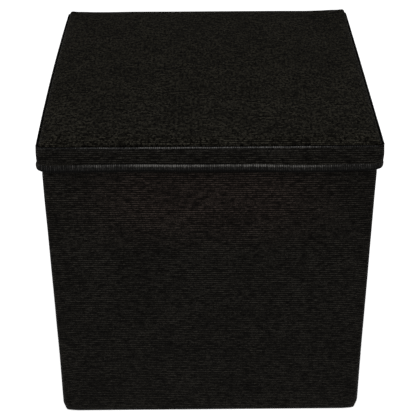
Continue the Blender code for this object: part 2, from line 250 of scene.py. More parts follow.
def bonded_lining(name, dark, light, dot=2.4 * MM):
    """Spun-bonded lining with rows of small pressed dots."""
    m = Material(name, roughness=0.8, specular=0.2)
    flat = coordinates(m, "UV")
    across, along = m.ribs(flat, "X", dot), m.ribs(flat, "Y", dot)
    pressed = m.remap(m.times(across, along), 0.45, 0.8)
    fibres = m.noise(flat, (900, 900, 1), 4)
    tone = m.noise(flat, (25, 25, 1), 3)
    height = m.math("SUBTRACT", m.times(fibres, 0.4), m.times(pressed, 0.8))
    shade = m.plus(m.times(fibres, 0.5), m.remap(tone, 0.3, 0.7, 0.0, 0.3))
    shade = m.math("SUBTRACT", shade, m.times(pressed, 0.2))
    return m.finish(m.mix(shade, dark, light), height, 0.25 * MM, 0.7)


def ribbed_tape(name, dark, light, rib=1.1 * MM):
    """Woven tape, ribbed across its length, with a zigzag of warp."""
    m = Material(name, roughness=0.55, specular=0.3)
    flat = coordinates(m, "UV")
    ribs = m.ribs(flat, "X", rib)
    zigzag = m.ribs(m.scaled(flat, (1, 0.5, 1)), "DIAGONAL", rib)
    height = m.plus(m.times(ribs, 0.6), m.times(zigzag, 0.4))
    shade = m.times(height, m.remap(m.noise(flat, (300, 300, 1)), 0.3, 0.7, 0.5, 1.2))
    return m.finish(m.mix(shade, dark, light), height, 0.2 * MM, 0.8)


def twisted_thread(name, colour, shine):
    """Sewing thread, two plies round each other."""
    m = Material(name, roughness=0.45, specular=0.4)
    plies = m.ribs(coordinates(m, "UV"), "DIAGONAL", 0.6 * MM)
    return m.finish(m.mix(plies, colour, shine), plies, 0.08 * MM, 0.6)


def pressed_board(name):
    """Raw fibreboard: fine chips, with a slight mottle."""
    m = Material(name, roughness=0.75, specular=0.25)
    place = coordinates(m, "Object")
    chips = m.noise(place, (900, 900, 900), 5)
    mottle = m.noise(place, (35, 35, 35), 3)
    shade = m.plus(m.times(chips, 0.7), m.times(mottle, 0.5))
    return m.finish(m.mix(shade, (0.22, 0.14, 0.08), (0.46, 0.33, 0.2)), chips, 0.1 * MM, 0.4)


def open_foam(name):
    m = Material(name, roughness=0.9, specular=0.1)
    cells = m.noise(coordinates(m, "Object"), (700, 700, 700), 4)
    return m.finish(m.mix(cells, (0.55, 0.52, 0.44), (0.78, 0.75, 0.66)), cells, 0.4 * MM, 0.8)


FLOOR_GLOW = 0.62


def studio_floor(name):
    m = Material(name, roughness=0.9, specular=0.1)
    m.shader.inputs["Emission Color"].default_value = (1, 1, 1, 1)
    m.shader.inputs["Emission Strength"].default_value = FLOOR_GLOW
    speckle = m.noise(coordinates(m, "Object"), (6, 6, 6), 2)
    return m.finish(m.mix(speckle, (0.90, 0.90, 0.90), (0.92, 0.92, 0.92)), speckle, 0.01 * MM, 0.1)


# ---------------------------------------------------------------- shapes


def path_lengths(points):
    """Distance along a path to each of its points."""
    return np.concatenate([[0], np.cumsum(np.linalg.norm(np.diff(points, axis=0), axis=1))])


class Ring:
    """A rounded square seen from above, walked from the middle of its back past the left side.

    Its columns are step apart, and closer at the marks, which are y positions on the left and right sides.
    The last column repeats the first. The same columns give the outline at any other half size and radius.
    """

    def __init__(self, half, radius, step, marks=(), middle=(0, 0)):
        self.half, self.radius, self.middle = half, radius, np.array(middle)
        run = half - radius
        anchors, normals = [], []

        def add_side(start, end, normal, fine=()):
            start, end = np.array(start), np.array(end)
            length = run * np.abs(end - start).sum()
            spread = (-2.4, -1.5, -0.8, -0.4, 0, 0.4, 0.8, 1.5, 2.4)
            near = [(mark + d * MM) / length for mark in fine for d in spread]
            shares = np.concatenate([np.linspace(0, 1, max(2, round(length / step)) + 1), near])
            shares = np.unique(np.clip(shares, 0, 1).round(6))[:-1]
            anchors.append(start + (end - start) * shares[:, None])
            normals.append(np.tile(normal, (len(shares), 1)))

        def add_corner(x, y, start):
            turns = max(5, round(radius * math.pi / step))
            angles = np.radians(start + 90 * np.arange(turns) / turns)
            anchors.append(np.tile((x, y), (turns, 1)))
            normals.append(np.stack([np.cos(angles), np.sin(angles)], axis=1))

        add_side((0.0, 1.0), (-1.0, 1.0), (0.0, 1.0))
        add_corner(-1.0, 1.0, 90)
        add_side((-1.0, 1.0), (-1.0, -1.0), (-1.0, 0.0), [run - m for m in marks])
        add_corner(-1.0, -1.0, 180)
        add_side((-1.0, -1.0), (1.0, -1.0), (0.0, -1.0))
        add_corner(1.0, -1.0, 270)
        add_side((1.0, -1.0), (1.0, 1.0), (1.0, 0.0), [run + m for m in marks])
        add_corner(1.0, 1.0, 0)
        add_side((1.0, 1.0), (0.0, 1.0), (0.0, 1.0))
        anchors, normals = np.concatenate(anchors), np.concatenate(normals)
        self.anchors = np.vstack([anchors, anchors[:1]])
        self.normals = np.vstack([normals, normals[:1]])
        self.points = self.outline(half, radius)
        self.along = path_lengths(self.points)
        self.count = len(self.along)
        self.line = np.column_stack([self.points, self.along * 0])

    def outline(self, half, radius):
        """The points at another half size and corner radius, which may be arrays that end with one column."""
        half, radius = np.asarray(half)[..., None], np.asarray(radius)[..., None]
        return self.middle + (half - radius) * self.anchors + radius * self.normals

    def sweep(self, rows, push=0.0, raised=0.0):
        """Places for rows of (inset, height), with concentric corners, pushed outwards and raised."""
        both = [np.array(values) for values in zip(*rows)]
        both = [values if values.ndim == 2 else values[:, None] for values in both]
        insets, heights = [np.broadcast_to(values, (len(rows), self.count)) for values in both]
        radius = np.maximum(self.radius - insets, 0.6 * MM)
        out = self.outline(self.half - insets, radius)
        out = out + self.normals * np.asarray(push + insets * 0)[..., None]
        return np.concatenate([out, (heights + raised)[..., None]], axis=2)


def mesh_object(name, vertices, faces, uvs, material):
    """A smooth mesh in the scene, with one UV for each corner of its faces in turn."""
    mesh = bpy.data.meshes.new(name)
    mesh.from_pydata(vertices, [], faces)
    layer = mesh.uv_layers.new(name="cloth")
    layer.data.foreach_set("uv", uvs.reshape(-1).astype(np.float32))
    mesh.shade_smooth()
    mesh.materials.append(material)
    obj = bpy.data.objects.new(name, mesh)
    bpy.context.scene.collection.objects.link(obj)
    return obj


def grid_mesh(name, places, u, v, material, joined_u=False, joined_v=False, thickness=0.0):
    """A mesh from rows and columns of places, with UVs in metres.

    The last column repeats the first if joined_u, and the last row the first if joined_v. A thickness goes to
    the back of the sheet, away from its faces.
    """
    rows, columns = places.shape[:2]
    kept_rows, kept_columns = rows - joined_v, columns - joined_u
    used = places[:kept_rows, :kept_columns].reshape(-1, 3)
    r, c = np.meshgrid(np.arange(rows - 1), np.arange(columns - 1), indexing="ij")
    corners = [(r, c), (r, c + 1), (r + 1, c + 1), (r + 1, c)]
    index = [(a % kept_rows) * kept_columns + b % kept_columns for a, b in corners]
    faces = np.stack([i.ravel() for i in index], axis=1)
    u, v = [np.broadcast_to(values, (rows, columns)) for values in (u, v)]
    uvs = np.stack([np.stack([u[a, b].ravel(), v[a, b].ravel()], axis=1) for a, b in corners], axis=1)
    obj = mesh_object(name, used.tolist(), faces.tolist(), uvs, material)
    if thickness:
        solid = obj.modifiers.new("Cloth thickness", "SOLIDIFY")
        solid.thickness = thickness
        solid.offset = -1
        solid.use_even_offset = True
    return obj


def noise_at(places, scale, seed):
    """Smooth noise from -1 to 1 at each place, with its grain in metres."""
    flat = (places.reshape(-1, 3) / np.asarray(scale) + seed).tolist()
    return np.array([noise.noise(p) for p in flat]).reshape(places.shape[:-1])


def hump(x, centre, width):
    """A smooth rise from 0 to 1 and back, within width on each side of the centre."""
    t = np.clip(np.abs(np.asarray(x) - centre) / width, 0, 1)
    return (1 - t * t) ** 2


def ease(x, start, end):
    """A smooth step from 0 at start to 1 at end."""
    t = np.clip((np.asarray(x) - start) / (end - start), 0, 1)
    return t * t * (3 - 2 * t)


def quarter(start_inset, start_height, end_inset, end_height, first="up"):
    """Rows round a quarter ellipse to the second point of a profile, from a first that they don't include.

    They leave the first point straight up, or level.
    """
    rows = []
    for i in range(1, 5):
        a = math.pi / 2 * i / 4
        across, rise = (1 - math.cos(a), math.sin(a)) if first == "up" else (math.sin(a), 1 - math.cos(a))
        inset = start_inset + (end_inset - start_inset) * across
        rows.append((inset, start_height + (end_height - start_height) * rise))
    return rows


def stitches(name, places, tangents, normals, length, radius, sink, material):
    """A row of stitches as one mesh: low humps of thread that dive into the cloth at both ends."""
    sides, steps = 6, 6
    vertices, faces = [], []
    angles = 2 * math.pi * np.arange(sides) / sides
    for place, tangent, normal in zip(places, tangents, normals):
        tangent, normal = np.array(tangent), np.array(normal)
        side = np.cross(normal, tangent)
        base = len(vertices)
        for i in range(steps + 1):
            t = i / steps * 2 - 1
            rise = radius * 0.9 * (1 - t * t) - sink * t * t
            centre = np.array(place) + tangent * (t * length / 2) + normal * rise
            thick = radius * math.sqrt(max(1 - t ** 4, 0.04))
            for a in angles:
                vertices.append(centre + (side * math.cos(a) + normal * math.sin(a)) * thick)
        for i in range(steps):
            low, high = base + i * sides, base + (i + 1) * sides
            for j in range(sides):
                k = (j + 1) % sides
                faces.append((low + j, low + k, high + k, high + j))
        faces.append(tuple(base + j for j in reversed(range(sides))))
        faces.append(tuple(base + steps * sides + j for j in range(sides)))
    corners = np.array(vertices, dtype=np.float32)[np.concatenate(faces)]
    flat = np.stack([corners[:, 0] + corners[:, 1], corners[:, 2] + corners[:, 1]], axis=1)
    return mesh_object(name, [tuple(v) for v in vertices], faces, flat, material)


def ring_stitches(name, ring, inset, height, material, body, facing):
    """Stitches in a row right round a ring, on a face that looks in or up."""
    line = ring.sweep([(inset, height)])[0]
    along = path_lengths(line)
    count = int(along[-1] / STITCH_PITCH)
    where = (np.arange(count) + 0.5) * along[-1] / count
    places = np.stack([np.interp(where, along, line[:, i]) for i in range(3)], axis=1)
    out = np.stack([np.interp(where, along, ring.normals[:, i]) for i in (0, 1)], axis=1)
    out /= np.linalg.norm(out, axis=1)[:, None]
    tangents = np.column_stack([-out[:, 1], out[:, 0], np.zeros(count)])
    level, upright = {"in": (-1.0, 0.0), "up": (0.0, 1.0)}[facing]
    looking = np.column_stack([out * level, np.full(count, upright)])
    sink = 0.3 * THREAD_RADIUS
    piece = stitches(name, places, tangents, looking, STITCH_LENGTH, THREAD_RADIUS, sink, material)
    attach(piece, body)


# ---------------------------------------------------------------- box

COVER_CORNER = 3 * MM
STAND_OFF = 0.4 * MM  # slack of the cover off its boards
FLARE = 0.7 * MM  # how far the cover spreads at its foot
SIDE_SEAM = BOX_HALF - BOX_CORNER - 1.5 * MM  # from the middle of a side wall to its seams
FOOT = 2.0 * MM  # radius that the cover turns under at the foot of a wall
FOOT_AT_CORNER = 4.5 * MM
FOOT_CORNER = 7 * MM  # how much rounder the box's corners are at the floor
RIM_TURN = 1.8 * MM
BOARD_CORNER = 6 * MM  # radius of the lower corners of a wall board, by an edge of the box and by a crease
BOARD_CREASE_CORNER = 0.5 * MM
BOARD_BEVEL = 0.4 * MM
LINING_FOOT = 0.3 * MM  # height of the lining's lower edge


def box_wave(places, normals):
    """How far the cover of the box stands off its flat, with the sewn crease and seams of the side walls."""
    x, y, z = places[..., 0], places[..., 1], places[..., 2]
    free = ease(z, HEM_BOTTOM, HEM_BOTTOM - 8 * MM) * ease(z, 0, 6 * MM)
    broad = noise_at(places, (0.11, 0.11, 0.09), 3.1) * 0.5 * MM
    fine = noise_at(places, (0.035, 0.035, 0.05), 8.7) * 0.2 * MM
    flare = FLARE * ease(z, 0.10, 0.0)
    wave = free * (STAND_OFF + flare + broad + fine)
    on_side = (np.abs(normals[..., 0]) > 0.999) * ease(z, 0, 3 * MM)
    crease = hump(y, 0, 2.2 * MM) * 0.9 * MM + hump(y, 0, 22 * MM) * 0.5 * MM
    seam = hump(np.abs(y), SIDE_SEAM, 1.6 * MM) * 0.7 * MM
    return wave - on_side * (crease + seam)


def foot_turn(points):
    """The radius that the cover turns under with at each point of the outline, larger at the corners."""
    from_corner = np.hypot(BOX_HALF - np.abs(points[..., 0]), BOX_HALF - np.abs(points[..., 1]))
    return FOOT + (FOOT_AT_CORNER - FOOT) * (1 - ease(from_corner, 2 * MM, 20 * MM))


def soften_foot(places):
    """Rounds the box's upright edges off more and more towards the floor."""
    x, y, z = places[..., 0], places[..., 1], places[..., 2]
    radius = COVER_CORNER + FOOT_CORNER * ease(z, 11 * MM, 0)
    start = BOX_HALF - radius
    past = np.stack([np.maximum(np.abs(x) - start, 0), np.maximum(np.abs(y) - start, 0)], axis=-1)
    reach = np.linalg.norm(past, axis=-1)
    allowed = np.where((past > 0).all(axis=-1), radius, np.inf)
    shrink = np.minimum(1, allowed / np.maximum(reach, 1e-9))
    places[..., 0] = np.where(shrink < 1, np.sign(x) * (start + past[..., 0] * shrink), x)
    places[..., 1] = np.where(shrink < 1, np.sign(y) * (start + past[..., 1] * shrink), y)
    return places


def build_box_cover(cloth, thread):
    """The outer cover: up the inside of the rim, over the top, down the wall and in under its hem."""
    ring = Ring(BOX_HALF, COVER_CORNER, 4 * MM, (-SIDE_SEAM, 0, SIDE_SEAM))
    level = np.zeros(ring.count)
    turn = foot_turn(ring.points)
    fold = BOX_HALF - FOLD_INSIDE
    shoulder = WALL_TOP - RIM_TURN
    rows = [(fold, FOLD_BOTTOM + (shoulder - FOLD_BOTTOM) * t) for t in np.linspace(0, 1, 5)]
    rows += quarter(fold, shoulder, fold - RIM_TURN, WALL_TOP)
    rows += [(RIM_TURN, WALL_TOP)]
    rows += quarter(RIM_TURN, WALL_TOP, 0, shoulder, "level")
    inside = len(rows) - 1
    rows = [(level + inset, level + height) for inset, height in rows]
    rows += [(level, shoulder + (turn - shoulder) * t) for t in np.linspace(0, 1, 78)[1:]]
    rows += [(turn * (1 - math.cos(a)), turn * (1 - math.sin(a))) for a in np.linspace(0, math.pi / 2, 7)[1:]]
    rows += [(np.maximum(BOX_HALF - HEM_INSIDE, turn + 1 * MM), level)]

    flat = ring.sweep(rows)
    facing = np.broadcast_to(ring.normals[None], (*flat.shape[:2], 2))
    outside = np.arange(len(rows))[:, None] >= inside
    places = soften_foot(ring.sweep(rows, push=box_wave(flat, facing) * outside))
    u, v = ring.along[None], -path_lengths(flat[:, ring.count // 2])[:, None]
    thickness = COVER_CLOTH * 0.6
    cover = grid_mesh("box_cover", places[::-1], u, v[::-1], cloth, joined_u=True, thickness=thickness)
    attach(cover, "box")
    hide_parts(*[f"{side}_{part}" for side in SIDES for part in ("cover", "rim_fold", "bottom_hem")])
    ring_stitches("rim_stitches", ring, fold - 0.1 * MM, FOLD_BOTTOM + 3 * MM, thread, "box", facing="in")


def board_outline(left, right, bottom, top):
    """A wall board's outline as (across, height), with its two lower corners cut round."""
    outline = []
    for end, inwards in ((left, 1), (right, -1)):
        radius = BOARD_CORNER if abs(end) > BOX_HALF / 2 else BOARD_CREASE_CORNER
        for angle in np.linspace(0, math.pi / 2, 7)[::inwards]:
            across = end + inwards * radius * (1 - math.cos(angle))
            outline.append((across, bottom + radius * (1 - math.sin(angle))))
    return np.array(outline + [(right, top), (left, top)])


def build_wall_boards(board):
    """The wall boards, with the lower corners by the box's edges cut round."""
    for name, turn in (
        ("front_board", 0), ("back_board", 180), ("left_front_board", 270), ("left_rear_board", 270),
        ("right_front_board", 90), ("right_rear_board", 90),
    ):
        low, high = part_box(name)
        angle = math.radians(turn)
        a, b = [Matrix.Rotation(-angle, 3, "Z") @ corner for corner in (low, high)]
        outline = board_outline(min(a.x, b.x), max(a.x, b.x), low.z, high.z)
        outer, inner = min(a.y, b.y), max(a.y, b.y)
        outwards = np.sign(outline - np.mean(outline, axis=0))
        rows = []
        for depth, inset in (
            (outer, BOARD_BEVEL), (outer + BOARD_BEVEL, 0), (inner - BOARD_BEVEL, 0), (inner, BOARD_BEVEL),
        ):
            shape = outline - outwards * inset
            rows.append(np.column_stack([shape[:, 0], np.full(len(shape), depth), shape[:, 1]]))
        places = np.array(rows)
        places = np.concatenate([places, places[:, :1]], axis=1)
        turned = places @ np.array(Matrix.Rotation(angle, 3, "Z")).T
        piece = grid_mesh(name + "_shaped", turned, places[..., 0], places[..., 2], board, joined_u=True)
        close_ends(piece)
        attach(piece, "box")
        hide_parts(name)


def build_box_lining(lining):
    """The lining on the inside of the walls, slightly loose between its corners."""
    ring = Ring(LINING_INSIDE, 3 * MM, 6 * MM)
    heights = LINING_FOOT + (LINING_TOP - LINING_FOOT) * np.linspace(0, 1, 49)
    rows = [(np.zeros(ring.count), np.full(ring.count, h)) for h in heights]
    flat = ring.sweep(rows)
    z = flat[..., 2]
    loose = ease(z, 12 * MM, 34 * MM) * ease(z, LINING_TOP, LINING_TOP - 20 * MM)
    wave = noise_at(flat, (0.05, 0.05, 0.12), 1.7) * 0.9 * MM
    wave = wave + noise_at(flat, (0.02, 0.02, 0.03), 5.2) * 0.3 * MM
    # Flatter in the middle of the back wall, where the pull tab lies when the floor panel is up
    flattened = 1 - 0.85 * hump(flat[..., 0], 0, 60 * MM) * (flat[..., 1] > 0)
    places = ring.sweep(rows, push=-np.abs(wave) * loose * flattened)
    u = ring.along[::-1][None]
    piece = grid_mesh("box_lining", places[:, ::-1], u, z, lining, joined_u=True, thickness=0.4 * MM)
    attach(piece, "box")
    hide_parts("front_lining", "back_lining", "left_lining", "right_lining")


def build_bottom_sheet(lining):
    """The sheet under the box, a little slack between its sewn edges."""
    reach = LINING_INSIDE + 0.3 * MM
    across = np.linspace(-reach, reach, 50)
    grid_y, grid_x = np.meshgrid(across, across, indexing="ij")
    flat = np.stack([grid_x, grid_y, np.full(grid_x.shape, SHEET_HIGH.z)], axis=2)
    inner = hump(grid_x, 0, SHEET_HIGH.x) * hump(grid_y, 0, SHEET_HIGH.y)
    flat[..., 2] -= np.abs(noise_at(flat, (0.06, 0.06, 1), 2.3)) * inner * 0.25 * MM
    piece = grid_mesh("box_bottom_sheet", flat, grid_x, grid_y, lining, thickness=0.6 * MM)
    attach(piece, "box")
    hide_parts("bottom_sheet")


# ---------------------------------------------------------------- floor panel


def build_floor_panel(lining, thread):
    """The board of the floor in its sewn pocket: rolled edges, and a row of stitches inside them."""
    half = (PANEL_HIGH.x - PANEL_LOW.x) / 2
    middle = (0, (PANEL_HIGH.y + PANEL_LOW.y) / 2)
    thick = PANEL_HIGH.z - PANEL_LOW.z
    ring = Ring(half, 1.2 * MM, 6 * MM, middle=middle)
    seam_share = 0.036
    insets = [0.97, 0.8, 0.6, 0.4, 0.25, 0.12, 0.06, 0.045, seam_share, 0.03, 0.018]
    top = [(i * half, PANEL_HIGH.z) for i in insets]
    turn = [
        (thick / 2 * (1 - math.sin(a)), (PANEL_HIGH.z + PANEL_LOW.z) / 2 + thick / 2 * math.cos(a))
        for a in np.linspace(0, math.pi, 9)
    ]
    bottom = [(i * half, PANEL_LOW.z) for i in insets[::-1]]
    section = top + turn + bottom
    places = ring.sweep(section)
    seam = seam_share * half
    for row, (inset, height) in enumerate(section):
        groove = hump(inset, seam, 2.2 * MM) * 0.5 * MM
        places[row, :, 2] += -groove if row < len(top) + 4 else groove
        if row < len(top):
            quilt = np.abs(noise_at(places[row], (0.05, 0.05, 1), 3.3)) * 0.5 * MM
            places[row, :, 2] += quilt * ease(inset, 2 * seam, 6 * seam)
    piece = grid_mesh("floor_panel_pocket", places, places[..., 0], places[..., 1], lining, joined_u=True)
    close_ends(piece)
    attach(piece, "floor_panel")
    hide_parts("floor_backing", "floor_lining", "floor_edge_binding")
    height = PANEL_HIGH.z - 0.35 * MM
    ring_stitches("floor_panel_stitches", ring, seam, height, thread, "floor_panel", facing="up")


def strip_along(path, x):
    """Places of a strip along a path of (y, z), with its columns at x, and the distance to each row."""
    return np.array([[(across, y, z) for across in x] for y, z in path]), path_lengths(np.array(path))


def build_pull_tab(tape, thread):
    """A loop of webbing at the panel's front edge, sewn down by its inner end with crossed stitches."""
    base = PANEL_HIGH.z + 0.3 * MM
    start, end = TAB_LOW.y, TAB_HIGH.y
    half = (TAB_HIGH.x - TAB_LOW.x) / 2
    rise = TAB_HIGH.z - base  # the loop lies flat, because it turns up against the back wall
    loop_end = start + 3 * MM
    path = [(end - back * MM, base) for back in (0, 10, 20, 28)]
    path += [(loop_end + 12 * MM, base), (loop_end + 5 * MM, base)]
    path += [
        (loop_end - rise / 2 * math.sin(a), base + rise / 2 * (1 - math.cos(a)))
        for a in np.linspace(0.2, math.pi - 0.2, 9)
    ]
    path += [(loop_end + 8 * MM, base + rise), (loop_end + 18 * MM, base + rise - 0.1 * MM)]
    path += [(end - back * MM, base + up * MM) for back, up in ((28, 1.2), (20, 1.0), (10, 1.0), (0, 1.0))]
    x = np.linspace(-half, half, 11)
    places, lengths = strip_along(path, x)
    places[..., 2] -= 0.12 * MM * (np.abs(places[..., 0]) / half) ** 6
    piece = grid_mesh("pull_tab_loop", places, lengths[:, None], x[None], tape, thickness=0.7 * MM)
    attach(piece, "floor_panel")
    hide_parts("pull_tab")

    inset = 2.2 * MM
    side, near, far = half - inset, end - inset, end - 20 * MM
    corners = [(-side, near), (side, near), (side, far), (-side, far)]
    lines = list(zip(corners, corners[1:] + corners[:1]))
    lines += [(corners[0], corners[2]), (corners[1], corners[3])]
    top = base + 1.0 * MM
    centres, tangents = [], []
    for a, b in lines:
        a, b = np.array(a), np.array(b)
        length = np.linalg.norm(b - a)
        count = int(length / (2.6 * MM))
        for t in (np.arange(count) + 0.5) / count:
            centres.append((*(a + (b - a) * t), top))
            tangents.append((*((b - a) / length), 0.0))
    upwards = [(0.0, 0.0, 1.0)] * len(centres)
    row = stitches("pull_tab_stitches", centres, tangents, upwards, 2.1 * MM, 0.22 * MM, 0.08 * MM, thread)
    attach(row, "floor_panel")


def build_hinge_tape(tape):
    """The woven tape that the floor panel turns on: down the back wall, round the corner and on to the panel.

    Its thickness is applied to its mesh; nothing here moves it as the panel turns.
    """
    wall = (WALL_TAPE_LOW.y + WALL_TAPE_HIGH.y) / 2 - 0.2 * MM
    floor = (FLOOR_TAPE_LOW.z + FLOOR_TAPE_HIGH.z) / 2
    radius = 2.0 * MM
    path = [(wall, z) for z in np.linspace(WALL_TAPE_HIGH.z, floor + radius + 1 * MM, 8)]
    path += [
        (wall - radius * (1 - math.cos(a)), floor + radius - radius * math.sin(a))
        for a in np.linspace(0, math.pi / 2, 7)
    ]
    path += [(y, floor) for y in np.linspace(wall - radius - 1 * MM, FLOOR_TAPE_LOW.y, 7)]
    x = np.linspace(WALL_TAPE_LOW.x, WALL_TAPE_HIGH.x, 61)
    places, lengths = strip_along(path, x)
    u, v = x[::-1][None], lengths[:, None]
    piece = grid_mesh("floor_hinge_webbing", places[:, ::-1], u, v, tape, thickness=0.5 * MM)
    solidify_now(piece)
    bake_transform(piece)
    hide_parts("wall_hinge_tape", "floor_hinge_tape")


def solidify_now(obj):
    """Applies the thickness of a sheet to its mesh."""
    settled = obj.evaluated_get(bpy.context.evaluated_depsgraph_get())
    mesh = bpy.data.meshes.new_from_object(settled)
    obj.modifiers.clear()
    obj.data = mesh


def close_ends(obj):
    """Closes the two open ends of a ring of rows with one face each."""
    mesh = bmesh.new()
    mesh.from_mesh(obj.data)
    edges = [e for e in mesh.edges if e.is_boundary]
    bmesh.ops.holes_fill(mesh, edges=edges, sides=0)
    bmesh.ops.recalc_face_normals(mesh, faces=mesh.faces)
    mesh.to_mesh(obj.data)
    mesh.free()


# ---------------------------------------------------------------- lid

PLAN_CORNER = 7.5 * MM  # radius of the lid's corners seen from above
# How far the middle and the two ends of each of the lid's edges stand out from straight
LEFT_EDGE = (0.8 * MM, -1.4 * MM, -1.4 * MM)
RIGHT_EDGE = (0.0 * MM, -0.1 * MM, -0.5 * MM)
FRONT_EDGE = (0.5 * MM, -0.5 * MM, -0.4 * MM)
BACK_EDGE = (0.3 * MM, -0.6 * MM, -0.6 * MM)
# Round each roll from its outermost line: its painted shadow underneath, where its painted highlight starts,
# that highlight's brightest line, its end
WELT_ROLL = (-0.6 * WELT, -0.25 * WELT, 0.25 * WELT, 1.0 * WELT)
HEM_ROLL = (-2.0 * MM, 1.4 * MM, 4.0 * MM, 5.9 * MM)
SKIRT_HOLLOW = 0.6 * MM  # how far the skirt draws in between seam and hem
CORNER_PUFF = 0.8 * MM  # and how far it puffs out at the corners
HEM_BULGE = 1.0 * MM
HEM_SIDEWAYS = -0.4 * MM  # the hem sits that far off the lid's middle
HEM_CORNER_RISE = 1.9 * MM
HEM_WAVES = ((-0.09, 0.08, 0.6 * MM), (0.115, 0.065, -1.6 * MM))  # x, half width and rise along the front
ROLL_TOP = HEM_TOP + 2.0 * MM  # the roll is fuller than the flat hem
ROLL_BOTTOM = HEM_BOTTOM - 0.8 * MM
# The pad's edge, as inset from the seam line and height above it in mm, from the seam up over the shoulder
PAD_EDGE = (
    (2.6, -3.0), (1.3, -1.6), (0.6, -0.4), (0.5, 0.7), (1.0, 1.6),
    (2.0, 2.4), (3.6, 3.0), (5.8, 3.4), (8.6, 3.7), (12.2, 3.9),
)
PAD_CROWN = 0.6 * MM
BACK_CORNER_RISE = (1.3 * MM, 2.2 * MM)  # the foam stands higher in the back corners, left and right
PAD_SWELL = 1.6 * MM  # as far as the simulated pressure may lift it


def edge_bow(edge, along):
    """How far one edge stands out, at a place from -1 to 1 along it."""
    middle, low_end, high_end = edge
    end = np.where(along < 0, low_end, high_end)
    return middle + (end - middle) * along ** 2


def lid_bow(xy, normals):
    """How far the lid's outline stands out or in from the straight-sided square."""
    x, y = xy[..., 0] / LID_HALF, xy[..., 1] / LID_HALF
    on_x = np.where(normals[..., 0] < 0, edge_bow(LEFT_EDGE, y), edge_bow(RIGHT_EDGE, y))
    on_y = np.where(normals[..., 1] < 0, edge_bow(FRONT_EDGE, x), edge_bow(BACK_EDGE, x))
    share = normals[..., 0] ** 2
    return on_x * share + on_y * (1 - share)


def follow_bow(places, half):
    """Moves the places of a level sheet inside the lid as its edges bow."""
    x, y = places[..., 0].copy(), places[..., 1].copy()
    level = np.zeros(x.shape)
    xy = np.stack([x, y], axis=-1)
    places[..., 0] += x / half * lid_bow(xy, np.stack([np.sign(x), level], axis=-1))
    places[..., 1] += y / half * lid_bow(xy, np.stack([level, np.sign(y)], axis=-1))


def hem_shift(xy, normals):
    """How far the hem rides up or sags along the front, with a slight unevenness all round."""
    front = ease(-normals[..., 1], 0.6, 1.0)
    waves = sum(rise * hump(xy[..., 0], centre, width) for centre, width, rise in HEM_WAVES)
    places = np.concatenate([xy, np.zeros((*xy.shape[:-1], 1))], axis=-1)
    corner = ease(np.abs(xy), LID_HALF - 14 * MM, LID_HALF - 3 * MM).prod(axis=-1) * HEM_CORNER_RISE
    return front * waves + corner + noise_at(places, (0.05, 0.05, 1), 4.4) * 0.35 * MM


def lid_ring(inset, step):
    """The lid's outline, inset by that much, and how far its edges are bowed from it."""
    ring = Ring(LID_HALF - inset, PLAN_CORNER - inset, step)
    return ring, lid_bow(ring.points, ring.normals)


def build_lid_strips(board):
    """The four board strips inside the skirt, sprung to the same bow."""
    run = LID_HALF - PLAN_CORNER - 6 * MM
    centre = (STRIP_HIGH + STRIP_LOW) / 2
    half_height = (STRIP_HIGH.z - STRIP_LOW.z) / 2
    across = (STRIP_HIGH.x - STRIP_LOW.x) / 2
    soft = 0.35 * MM
    section = [
        (across - soft, half_height), (across, half_height - soft), (across, soft - half_height),
        (across - soft, -half_height), (soft - across, -half_height), (-across, soft - half_height),
        (-across, half_height - soft), (soft - across, half_height), (across - soft, half_height),
    ]
    x = np.linspace(-run, run, 24)
    for side, turn in (("front", 0), ("right", 90), ("back", 180), ("left", 270)):
        angle = math.radians(turn)
        cos, sin = math.cos(angle), math.sin(angle)
        spin = np.array([[cos, sin, 0], [-sin, cos, 0], [0, 0, 1]])
        line = np.column_stack([x, np.full(len(x), -LID_HALF)]) @ spin[:2, :2]
        facing = np.tile(np.array([0, -1]) @ spin[:2, :2], (len(x), 1))
        stand_off = -(centre.x + lid_bow(line, facing))
        places = np.array([
            np.column_stack([x, stand_off - out, np.full(len(x), centre.z + up)]) for out, up in section
        ])
        strip = grid_mesh(f"lid_{side}_strip", places @ spin, x[None], places[..., 2], board, joined_v=True)
        close_ends(strip)
        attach(strip, "lid")
        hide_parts(f"lid_{side}_rim_strip")


def build_lid_skirt(cloth):
    """The band between the seam and the hem, drawn in a little between them and puckered under the seam."""
    ring, bow = lid_ring(0, 2.2 * MM)
    down = np.linspace(0, 1, 12)[:, None]
    top = LID_SEAM - 1.0 * MM
    bottom = HEM_TOP - 3 * MM
    rows = [(0.0, top + (bottom - top) * t) for t in down[:, 0]]
    sag = hem_shift(ring.points, ring.normals)[None] * down
    phase = noise_at(ring.line, 0.03, 1.1)
    pucker = np.sin(ring.along / (6.5 * MM) * 2 * math.pi + 4 * phase)[None] * np.exp(-down * 4) * 0.14 * MM
    to_corner = ease(np.abs(ring.points).min(axis=1) / LID_HALF, 0.75, 0.97)
    hollow = SKIRT_HOLLOW * (1 - to_corner) - CORNER_PUFF * to_corner
    push = -0.3 * MM - hollow * hump(down, 0.55, 0.62) + pucker
    push = push + noise_at(ring.sweep(rows), (0.045, 0.045, 0.02), 6.1) * 0.2 * MM * np.sin(down * math.pi)
    places = ring.sweep(rows, push + bow, sag)
    u, v = ring.along[None], -down * (top - bottom)
    piece = grid_mesh("lid_skirt", places[::-1], u, v[::-1], cloth, joined_u=True, thickness=0.4 * MM)
    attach(piece, "lid")
    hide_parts(*[f"lid_{side}_skirt" for side in SIDES])


